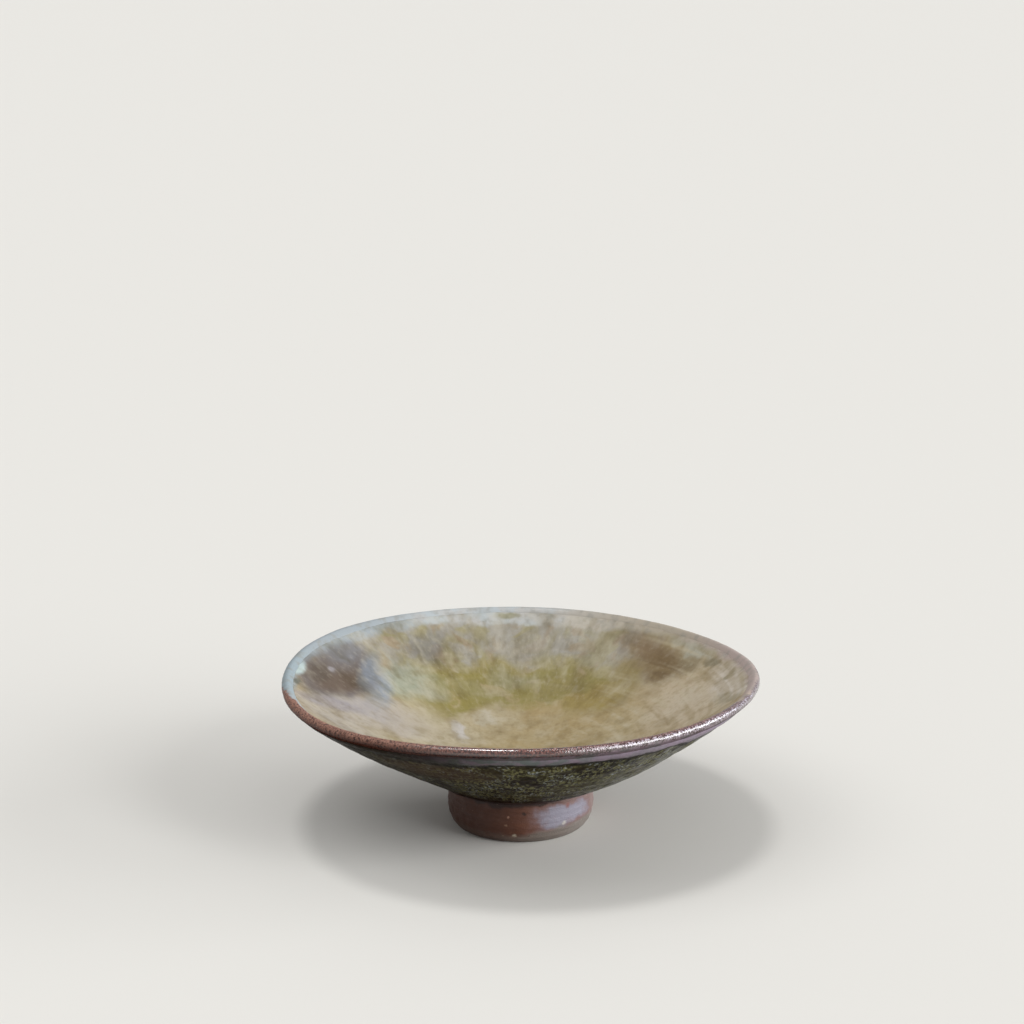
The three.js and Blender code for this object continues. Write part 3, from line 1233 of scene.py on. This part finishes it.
@dataclass(frozen=True)
class FootClay:
    """Bare fired clay: reddish brown, with pale grog and pits, painted shade on the left, and
    painted light and a grey sheen on the right.
    """

    name: str
    red: Colour = (120, 73, 51)
    brown: Colour = (108, 64, 45)
    # The grey and the pink fringe below it are a painted sheen on the lit right side of the foot
    grey: Colour = (147, 144, 158)
    sheen_fringe: Colour = (126, 96, 92)
    beige: Colour = (126, 123, 116)
    grog: Colour = (190, 168, 146)
    pit: Colour = (52, 34, 28)
    shade_and_stain_under_glaze: Colour = (34, 14, 10)
    sides: tuple[Wash, ...] = (
        # Painted shade: the left side of the foot, away from the light, is darkened
        Wash(205, 57, 33, (60, 29, 15), 0.8),
        # Painted light: the right side of the foot, where the light falls, is lighter and pinker
        Wash(322, 34, 22, (120, 94, 86), 0.75),
        Wash(342, 26, 18, (146, 128, 126), 0.75),
    )
    spots: tuple[Spot, ...] = (
        Spot((1.1, -23.4, 10.7), 1.3, (44, 24, 18), 0.85),
        Spot((-3.8, -23.2, 9.6), 0.9, (170, 130, 112)),
        Spot((-4.7, -23.0, 6.6), 1.0, (150, 120, 98), 0.7),
        Spot((-2.0, -22.8, 3.2), 1.2, (206, 194, 172)),
        Spot((13.9, -18.8, 6.0), 1.5, (196, 190, 180), 0.7),
        Spot((15.0, -18.0, 11.5), 1.8, (136, 84, 74), 0.7),
    )

    def material(self) -> bpy.types.Material:
        """Builds the clay's finish.

        Returns:
            The material.
        """
        brush = Brush(self.name)
        wiped = brush.vector("MULTIPLY", brush.place, (0.35, 0.35, 1.6))
        clouds = brush.clouds(wiped, Noise(4, 51, 3), 0.38, 0.62)
        colour = brush.washes(brush.colour(clouds, self.brown, self.red), self.sides)
        band = brush.height + brush.stray(Noise(7, 52), 7.0)
        # Painted sheen: a grey-lilac reflection on the lit right side, fringed with pink
        foot_sheen_share = brush.step(band, 2.8, 7.2) * brush.step(band, 14.4, 10.2)
        foot_sheen_share = foot_sheen_share * brush.facing(310, 20, 20) + brush.stray(Noise(2.2, 60, 3), 0.7)
        colour = brush.colour(brush.step(foot_sheen_share, 0.0, 0.6, 0.8), colour, self.sheen_fringe)
        colour = brush.colour(brush.step(foot_sheen_share, 0.3, 1.0, 0.95), colour, self.grey)
        low = brush.height + brush.stray(Noise(5, 53), 4.0) + brush.facing(322, 30, 22, -1.5)
        low = brush.step(low, 4.4, 2.4, 0.7) * (brush.facing(322, 56, 26, 0.75) + 0.25)
        colour = brush.colour(low, colour, self.beige)
        # Painted shade with some dark stain: the clay just under the glaze's edge, on the front, is
        # darkened
        seam = brush.height + brush.stray(Noise(4, 59), 5.0)
        seam = brush.step(seam, 11.8, 13.2, 0.9) * brush.facing(262, 36, 12)
        colour = brush.colour(seam, colour, self.shade_and_stain_under_glaze)
        grog = brush.clouds(brush.place, Noise(0.9, 54, 1), 0.77, 0.82, 0.7)
        colour = brush.colour(grog, colour, self.grog)
        pits = brush.clouds(brush.place, Noise(1.2, 55, 1), 0.24, 0.18, 0.9)
        colour = brush.colour(pits, colour, self.pit)
        return brush.finish(
            {
                "Base Color": brush.spots(colour, self.spots),
                "Roughness": brush.clouds(brush.place, Noise(3, 56, 3), 0.3, 0.7, 0.2) + 0.45,
                "Normal": brush.relief(
                    (brush.place, Noise(0.4, 57, 3), 0.1), (wiped, Noise(1.0, 58), 0.16)
                ),
            }
        )


# Pieces


class Side(Enum):
    """A side of the wall. Its value is the sign of the distance from the crest of the lip."""

    OUTSIDE = -1
    INSIDE = 1


@dataclass(frozen=True)
class Dress:
    """What a finished piece stands for in the solid model."""

    node: str
    slot: str
    material: bpy.types.Material

    def put_on(self, piece: bpy.types.Object) -> bpy.types.Object:
        """Gives a piece its finish and its place in the model.

        Args:
            piece: The mesh object to dress.

        Returns:
            The same object.
        """
        piece.data.materials.append(self.material)
        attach(piece, BODY)
        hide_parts(self.node)
        log.info("%s: %d faces, stands for %s", piece.name, len(piece.data.polygons), self.node)
        return piece


@dataclass(frozen=True)
class HandMarks:
    """The slow unevenness that every coat on one side of the wall shares."""

    rings: ThrowingRings
    lumps: tuple[Lumps, ...]
    fade_from_lip: float = 9

    def at(self, points: np.ndarray, across: np.ndarray) -> np.ndarray:
        """Height of the marks.

        Args:
            points: Places in millimetres on the last axis.
            across: Their distances from the crest of the lip.

        Returns:
            Heights in millimetres, which fade towards the lip.
        """
        away = eased(np.abs(across), 1, self.fade_from_lip)
        return away * self.rings.at(points) + (0.3 + 0.7 * away) * lumps_sum(self.lumps, points)


INSIDE_MARKS = HandMarks(ThrowingRings(7.4, 0.05), (Lumps(26, 0.22, 101), Lumps(9, 0.08, 102)))
OUTSIDE_MARKS = HandMarks(ThrowingRings(5.6, 0.05), (Lumps(22, 0.2, 103), Lumps(8, 0.12, 104)))


def column_angles(columns: int) -> np.ndarray:
    """Angles in radians of a mesh's columns, in one row."""
    return (np.arange(columns) * (2 * math.pi / columns))[None, :]


def row_shares(rows: int) -> np.ndarray:
    """Even steps from 0 to 1 over a mesh's rows, in one column."""
    return np.linspace(0, 1, rows + 1)[:, None]


@dataclass(frozen=True)
class Coat:
    """A closed shell of glaze on the clay."""

    form: BowlForm
    dress: Dress

    def surface(self, across: np.ndarray) -> np.ndarray:
        """Places on the plain coat, at distances from the crest of the lip in rows and columns."""
        section = self.form.skin(across, self.form.glaze_top)
        return self.form.place(section, column_angles(across.shape[1]))

    def shell(
        self, name: str, across: np.ndarray, top: np.ndarray, below: np.ndarray, bottom: np.ndarray
    ) -> bpy.types.Object:
        """Closes a coat and dresses it.

        Args:
            name: Name of the piece.
            across: Distances of the face that is seen from the crest of the lip.
            top: The section of that face.
            below: Distances of the hidden face.
            bottom: The section of the hidden face, back to where the first one starts.

        Returns:
            The piece.
        """
        section = np.concatenate([top, bottom])
        across = np.concatenate([across, below])
        return self.dress.put_on(turned_object(name, self.form, section, across))


@dataclass(frozen=True)
class InnerCoat(Coat):
    """The glaze inside the bowl, from under the iron band right across the floor."""

    start: float = 1.1
    band_edge: float = 1.9
    tuck: float = 0.12
    columns: int = 480
    rows: int = 150
    crowding: float = 0.93
    hidden_rows: int = 24
    texture: tuple[Lumps, ...] = (Lumps(3.2, 0.035, 111), Lumps(1.5, 0.015, 112))
    quiet_radius: float = 12
    pool_depth: float = 0.25
    pool_radius: float = 13
    spiral_pitch: float = 6
    spiral_share: float = 0.35

    def build(self) -> bpy.types.Object:
        """Makes the coat as one closed shell and dresses it.

        Returns:
            The piece.
        """
        form = self.form
        angle = column_angles(self.columns)
        far = form.half_round + form.inside().length
        near = form.half_round + self.start
        shares = row_shares(self.rows) ** self.crowding
        across = (near + (far - near) * shares) * np.ones_like(angle)
        places = self.surface(across)
        radius = np.hypot(places[..., 0], places[..., 1])
        marks = INSIDE_MARKS.at(places, across) + lumps_sum(self.texture, places)
        marks *= eased(radius, 0, self.quiet_radius)
        spiral = np.cos(2 * math.pi * radius / self.spiral_pitch - angle) * eased(radius, 0, 3)
        spiral *= eased(radius, self.pool_radius + 6, self.pool_radius - 5)
        marks += self.pool_depth * self.spiral_share * spiral
        marks -= self.pool_depth * eased(radius, self.pool_radius, 0)
        tuck = self.tuck * eased(across - form.half_round, self.band_edge, self.start)
        top = form.skin(across, form.glaze_top + marks - tuck)
        below = np.linspace(far, near, self.hidden_rows + 1)[:, None] * np.ones_like(angle)
        bottom = form.skin(below, form.coat_bottom)
        top[-1, :, 0] = bottom[0, :, 0] = 0
        top[-1, :, 1] = top[-1, :, 1].mean()
        return self.shell("inner_coat", across, top, below, bottom)


@dataclass(frozen=True)
class OuterCoat(Coat):
    """The glaze outside the bowl, which ends above the foot in a thick, uneven rolled edge."""

    start: float = 1.5
    band_edge: float = 2.3
    tuck: float = 0.22
    columns: int = 480
    rows: int = 132
    hidden_rows: int = 20
    bare_strip: float = 3.0
    least_bare_strip: float = 0.12
    bare_side: tuple[Wave, ...] = (Wave(1, 1.4, 305),)
    edge_sway: float = 0.9
    roll_swell: float = 0.3
    roll_sway: float = 0.3
    roll_length: float = 5
    roll_bias: float = 2.2
    full_side: float = 345
    fullness: float = 0.9
    fullest_radius: float = 42
    full_reach: float = 13
    texture: tuple[Lumps, ...] = (Lumps(3.0, 0.06, 121), Lumps(1.3, 0.03, 122))
    hang: tuple[Lumps, ...] = (Lumps(16, 0.8, 123), Lumps(5.5, 0.35, 124))

    def build(self) -> bpy.types.Object:
        """Makes the coat as one closed shell and dresses it.

        Returns:
            The piece.
        """
        form = self.form
        angle = column_angles(self.columns)
        hang = lumps_sum(self.hang, turned(form.start_radius, 0, angle))
        bare = self.bare_strip + wave_sum(self.bare_side, angle) - self.edge_sway * hang
        bare = np.maximum(bare, self.least_bare_strip)
        near = form.half_round + self.start
        far = form.half_round + form.underside().length - bare
        across = -(near + (far - near) * row_shares(self.rows))
        into_roll = np.clip(1 + (-across - far) / self.roll_length, 0, 1)
        swell = self.roll_swell + self.roll_sway * hang
        swell = swell * np.sin(math.pi * into_roll**self.roll_bias)
        tuck = self.tuck * eased(-across - form.half_round, self.band_edge, self.start)
        height = form.glaze_top + self.marks(across, angle) * (1 - into_roll) + swell - tuck
        below = -(near + (far - near) * row_shares(self.hidden_rows))
        top, bottom = form.skin(across, height), form.skin(below, form.coat_bottom)
        return self.shell("outer_coat", across[::-1], top[::-1], below, bottom)

    def marks(self, across: np.ndarray, angle: np.ndarray) -> np.ndarray:
        """Height of the hand's marks, the glaze's texture, and the fuller right half.

        Args:
            across: Distances from the crest of the lip.
            angle: Angles of the columns in radians.

        Returns:
            Heights in millimetres.
        """
        places = self.surface(across)
        radius = np.hypot(places[..., 0], places[..., 1])
        towards = np.clip(np.cos(angle - math.radians(self.full_side)), 0, 1) ** 2
        full = np.exp(-(((radius - self.fullest_radius) / self.full_reach) ** 2))
        relief = OUTSIDE_MARKS.at(places, across) + lumps_sum(self.texture, places)
        return relief + self.fullness * towards * full


@dataclass(frozen=True)
class LipBand(Coat):
    """The iron-brown glaze that wraps the lip, with its orange-peel grain."""

    depth_inside: float = 2.3
    depth_outside: float = 2.7
    feather: float = 1.3
    edge_height: float = 0.18
    extra_height: float = 0.03
    far_smooth: float = 0.7
    glassy_width: float = 16
    columns: int = 1200
    rows: int = 26
    hidden_rows: int = 5
    sway: tuple[Lumps, ...] = (Lumps(7, 0.35, 131), Lumps(2.5, 0.15, 132))
    body: tuple[Lumps, ...] = (Lumps(11, 0.07, 133), Lumps(3, 0.05, 134))
    peel: tuple[Lumps, ...] = (Lumps(1.25, 0.055, 135), Lumps(0.8, 0.03, 136))

    def build(self) -> bpy.types.Object:
        """Makes the band as one closed shell and dresses it.

        Returns:
            The piece.
        """
        form = self.form
        angle = column_angles(self.columns)
        sway = lumps_sum(self.sway, self.surface(np.zeros_like(angle)))
        first = -(form.half_round + self.depth_outside + sway)
        last = form.half_round + self.depth_inside + sway
        across = first + (last - first) * row_shares(self.rows)
        places = self.surface(across)
        grainy = 1 - self.far_smooth * eased(np.sin(angle), -0.2, 0.3)
        from_glassy = np.abs(np.degrees(angle) - GLASSY_SIDE) / self.glassy_width
        grainy = grainy * eased(from_glassy, 0.6, 1.2)
        body = lumps_sum(self.body, places) + grainy * lumps_sum(self.peel, places)
        fade = eased(np.minimum(across - first, last - across), 0, self.feather)
        height = (form.glaze_top + self.extra_height) * fade + self.edge_height * (1 - fade)
        top = form.skin(across, height + body * (0.2 + 0.8 * fade))
        below = first + (last - first) * row_shares(self.hidden_rows)[::-1]
        bottom = form.skin(below, form.coat_bottom)
        return self.shell("iron_lip", across, top, below, bottom)


@dataclass(frozen=True)
class PaleBand(Coat):
    """The second, pale glaze on one side under the lip, which thins out over the first one."""

    side: Side
    name: str
    start: float
    depth: float
    turn: float
    marks: HandMarks
    thickness: float = 0.16
    sunk_edge: float = 0.04
    sunk_bottom: float = 0.15
    least_reach: float = 2
    wander: float = 1.6
    edge: tuple[Wave, ...] = (Wave(2, 0.45, 120), Wave(5, 0.35, 20), Wave(9, 0.2, 75))
    ragged: tuple[Lumps, ...] = (Lumps(6, 0.8, 141), Lumps(2.2, 0.3, 142))
    columns: int = 480
    rows: int = 14
    hidden_rows: int = 4

    def build(self) -> bpy.types.Object:
        """Makes the band as one closed shell and dresses it.

        Returns:
            The piece.
        """
        form = self.form
        angle = column_angles(self.columns)
        reach = self.depth + self.wander * wave_sum(self.edge, angle + math.radians(self.turn))
        ragged = lumps_sum(self.ragged, self.surface(np.zeros_like(angle)))
        reach = np.maximum(reach + ragged, self.least_reach)
        near = form.half_round + self.start
        shares = row_shares(self.rows)
        across = self.side.value * (near + reach * shares)
        marks = self.marks.at(self.surface(across), across)
        lens = eased(shares, 0, 0.3) * eased(shares, 1, 0.35)
        height = form.glaze_top + marks + self.thickness * lens - self.sunk_edge * (1 - lens)
        below = self.side.value * (near + reach * row_shares(self.hidden_rows)[::-1])
        top, bottom = form.skin(across, height), form.skin(below, form.glaze_top - self.sunk_bottom)
        rows = [across, top, below, bottom]
        if self.side is Side.OUTSIDE:
            rows = [part[::-1] for part in rows]
        return self.shell(self.name, *rows)


@dataclass(frozen=True)
class ThrownBody:
    """The thrown clay: it shows inside the foot ring and as a bare strip above it."""

    form: BowlForm
    dress: Dress
    columns: int = 240
    recess_rows: int = 70
    face_rows: int = 30
    lip_rows: int = 8
    marks_end: float = 13.6
    marks_full: float = 12.4
    marks_depth: float = 0.02
    nub_height: float = 0.8
    nub_radius: float = 2.6
    turning: ThrowingRings = ThrowingRings(2.3, 0.09)
    texture: tuple[Lumps, ...] = (Lumps(5, 0.12, 151), Lumps(1.2, 0.05, 152))

    def recess(self) -> np.ndarray:
        """(radius, height) pairs of the body's flat underside, with its marks of turning.

        Returns:
            The pairs, in rows from the axis to the seat of the foot ring.
        """
        angle = column_angles(self.columns)
        shares = row_shares(self.recess_rows)[:-1]
        radius = self.form.start_radius * shares * np.ones_like(angle)
        flat = turned(radius, 0, angle)
        inside_ring = eased(radius, self.marks_end, self.marks_full)
        relief = self.turning.at(flat) * eased(radius, 0, 3) + lumps_sum(self.texture, flat)
        relief *= inside_ring
        relief[0] = 0
        nub = self.nub_height * np.exp(-((radius / self.nub_radius) ** 2))
        height = self.form.foot_height - nub + relief - self.marks_depth * inside_ring
        return np.stack([radius, height], axis=-1)

    def build(self) -> bpy.types.Object:
        """Makes the body as one closed solid and dresses it.

        Returns:
            The piece.
        """
        form = self.form
        faces = []
        for start, end, rows in (
            (-form.half_round - form.underside().length, -form.half_round, self.face_rows),
            (-form.half_round, form.half_round, self.lip_rows),
            (form.half_round, form.half_round + form.inside().length, self.face_rows),
        ):
            across = np.linspace(start, end, rows + 1)[1 if faces else 0 :, None]
            faces.append(form.skin(across * np.ones((1, self.columns)), 0))
        faces[-1][-1, :, 0] = 0
        section = np.concatenate([self.recess(), *faces])
        return self.dress.put_on(turned_object("clay_body", form, section))


@dataclass(frozen=True)
class FootRing:
    """The rounded foot ring of bare clay, with the marks of turning and wiping."""

    form: BowlForm
    dress: Dress
    seat_clearance: float = 0.06
    belly_radius: float = 23.6
    belly_height: float = 7.5
    rest_radius: float = 20.2
    rest_width: float = 4.2
    recess_radius: float = 13.8
    recess_edge_height: float = 2.4
    columns: int = 320
    belly_rows: int = 26
    neck_rows: int = 12
    seat_rows: int = 8
    wall_rows: int = 22
    edge_rows: int = 8
    rest_rows: int = 10
    turning: ThrowingRings = ThrowingRings(1.9, 0.05)
    lumps: tuple[Lumps, ...] = (Lumps(11, 0.22, 161), Lumps(4, 0.1, 162), Lumps(1.4, 0.04, 163))

    def section(self) -> np.ndarray:
        """(radius, height) pairs anticlockwise round the ring, from the outside of its rest.

        Returns:
            The pairs, in order.
        """
        top = self.form.foot_height - self.seat_clearance
        swing = np.linspace(-math.pi / 2, 0, self.belly_rows + 1)
        reach = self.belly_radius - self.rest_radius
        radius = self.rest_radius + reach * np.cos(swing)
        belly = np.stack([radius, self.belly_height * (1 + np.sin(swing))], axis=1)
        seat_start, seat_end = (self.form.seat_radius, top), (self.recess_radius, top)
        wall_end = (self.recess_radius, self.recess_edge_height)
        edge_end = (self.rest_radius - self.rest_width, 0)
        t = row_shares(self.edge_rows)[1:]
        corner = np.array([self.recess_radius, 0])
        edge = (1 - t) ** 2 * wall_end + 2 * t * (1 - t) * corner + t * t * edge_end
        return np.concatenate(
            [
                belly,
                self.straight((self.belly_radius, self.belly_height), seat_start, self.neck_rows),
                self.straight(seat_start, seat_end, self.seat_rows),
                self.straight(seat_end, wall_end, self.wall_rows),
                edge,
                self.straight(edge_end, (self.rest_radius, 0), self.rest_rows)[:-1],
            ]
        )

    @staticmethod
    def straight(start: tuple[float, float], end: tuple[float, float], rows: int) -> np.ndarray:
        """Points on a straight run of the section, without its first."""
        return np.linspace(start, end, rows + 1)[1:]

    def build(self) -> bpy.types.Object:
        """Makes the ring as one closed solid and dresses it.

        Returns:
            The piece.
        """
        section = self.section()
        ahead = np.roll(section, -1, axis=0) - np.roll(section, 1, axis=0)
        normal = np.stack([ahead[:, 1], -ahead[:, 0]], axis=1)
        normal /= np.linalg.norm(normal, axis=1, keepdims=True)
        angle = column_angles(self.columns)
        radius, height = (section[:, [axis]] * np.ones_like(angle) for axis in (0, 1))
        near_seat = eased(height, self.form.foot_height, self.form.foot_height - 1.5)
        stacked = np.stack([height, 0 * height, 0 * height], axis=-1)
        relief = lumps_sum(self.lumps, turned(radius, height, angle)) + self.turning.at(stacked)
        relief *= near_seat * eased(height, 0, 1.2)
        shaped = np.stack([radius, height], axis=-1) + relief[..., None] * normal[:, None, :]
        return self.dress.put_on(turned_object("foot", self.form, shaped))


# Studio


@dataclass(frozen=True)
class Lamp:
    """A soft lamp so far off that it lights everything evenly.

    Its place only gives the direction that it shines from, and its size is in degrees across.
    """

    name: str
    place: tuple[float, float, float]
    size: float
    power: float
    tint: tuple[float, float, float] = (1.0, 1.0, 1.0)

    def hang(self) -> None:
        """Adds the lamp to the scene."""
        data = bpy.data.lights.new(self.name, "SUN")
        data.angle = math.radians(self.size)
        data.energy = self.power
        data.color = self.tint
        lamp = bpy.data.objects.new(self.name, data)
        lamp.location = self.place
        lamp.rotation_euler = (-Vector(self.place)).to_track_quat("-Z", "Y").to_euler()
        bpy.context.scene.collection.objects.link(lamp)


@dataclass(frozen=True)
class Studio:
    """The camera, the lamps, and the plain floor that the bowl stands on."""

    camera_place: tuple[float, float, float] = (-0.00275, -0.80498, 0.319114)
    camera_pitch: float = 75.0
    lens: float = 92.67
    floor_radius: float = 8.0
    floor_corners: int = 96
    floor_colour: Colour = (222, 220, 215)
    floor_bounce: Colour = (150, 145, 138)
    sky: Colour = (255, 255, 255)
    sky_light: float = 0.44
    lamps: tuple[Lamp, ...] = (
        Lamp("window_near", (0.757, -0.592, 0.276), 24.0, 0.9, (0.98, 0.99, 1.0)),
        Lamp("window_middle", (0.933, -0.233, 0.276), 24.0, 0.9, (0.98, 0.99, 1.0)),
        Lamp("window_far", (0.947, 0.167, 0.276), 24.0, 0.9, (0.98, 0.99, 1.0)),
        Lamp("key", (0.66, -0.5, 0.56), 16.0, 0.6),
        Lamp("top", (-0.12, 0.02, 1.0), 12.0, 0.7),
        Lamp("fill", (-0.55, -0.1, 0.83), 40.0, 0.5),
    )

    def set_up(self) -> None:
        """Builds the whole studio."""
        self.add_camera()
        self.add_floor()
        self.add_sky()
        for lamp in self.lamps:
            lamp.hang()
        log.info("studio: %d lamps", len(self.lamps))

    def add_camera(self) -> None:
        """Adds the camera at the photograph's place."""
        data = bpy.data.cameras.new("camera")
        data.sensor_width = 36.0
        data.lens = self.lens
        data.clip_start = 0.01
        camera = bpy.data.objects.new("camera", data)
        camera.location = self.camera_place
        camera.rotation_euler = (math.radians(self.camera_pitch), 0, 0)
        bpy.context.scene.collection.objects.link(camera)
        bpy.context.scene.camera = camera

    def add_floor(self) -> None:
        """Adds a round, level floor in one pale colour."""
        ring = turned(self.floor_radius, 0, column_angles(self.floor_corners)[0])
        mesh = bpy.data.meshes.new("floor")
        mesh.from_pydata(ring.tolist(), [], [list(range(self.floor_corners))])
        mesh.materials.append(self.floor_material())
        floor = bpy.data.objects.new("floor", mesh)
        bpy.context.scene.collection.objects.link(floor)

    def floor_material(self) -> bpy.types.Material:
        """Builds the floor's finish: pale where it is seen, and darker for the light it throws.

        Returns:
            The material.
        """
        brush = Brush("floor")
        seen = brush.add("LightPath", {}, "Is Camera Ray")
        for name in ("Is Glossy Ray", "Is Transmission Ray"):
            seen = brush.math("MAXIMUM", seen, brush.add("LightPath", {}, name))
        colour = brush.colour(seen, self.floor_bounce, self.floor_colour)
        return brush.finish({"Base Color": colour, "Roughness": 0.9, "Specular IOR Level": 0.1})

    def add_sky(self) -> None:
        """Lights the scene evenly from all round."""
        world = bpy.data.worlds.new("sky")
        world.use_nodes = True
        background = world.node_tree.nodes["Background"]
        background.inputs["Color"].default_value = linear(self.sky)
        background.inputs["Strength"].default_value = self.sky_light
        bpy.context.scene.world = world


def main() -> None:
    """Builds the bowl piece by piece, then the studio."""
    logging.basicConfig(level=logging.INFO, format="%(name)s: %(message)s")
    form = BowlForm()
    inside = InsideGlaze().material()
    outside = OutsideGlaze().material()
    pale_inside = Dress("pale_band_inside", "pale_glaze_inside", inside)
    pale_outside = Dress("pale_band_outside", "pale_glaze_outside", outside)
    pieces = (
        ThrownBody(form, Dress("thrown_body", "body_clay", FootClay("body_clay").material())),
        FootRing(form, Dress("foot_ring", "foot_clay", FootClay("foot_clay").material())),
        InnerCoat(form, Dress("inner_glaze", "ash_glaze_inside", inside)),
        OuterCoat(form, Dress("outer_glaze", "ash_glaze_outside", outside)),
        LipBand(form, Dress("iron_lip_band", "iron_glaze", IronLip().material())),
        PaleBand(form, pale_inside, Side.INSIDE, "pale_rim_inside", 1.5, 4.8, 0, INSIDE_MARKS),
        PaleBand(
            form, pale_outside, Side.OUTSIDE, "pale_rim_outside", 1.9, 5.2, 115, OUTSIDE_MARKS
        ),
    )
    for piece in pieces:
        piece.build()
    Studio().set_up()
    bpy.context.scene.view_settings.view_transform = "Standard"


if __name__ == "__main__":
    main()
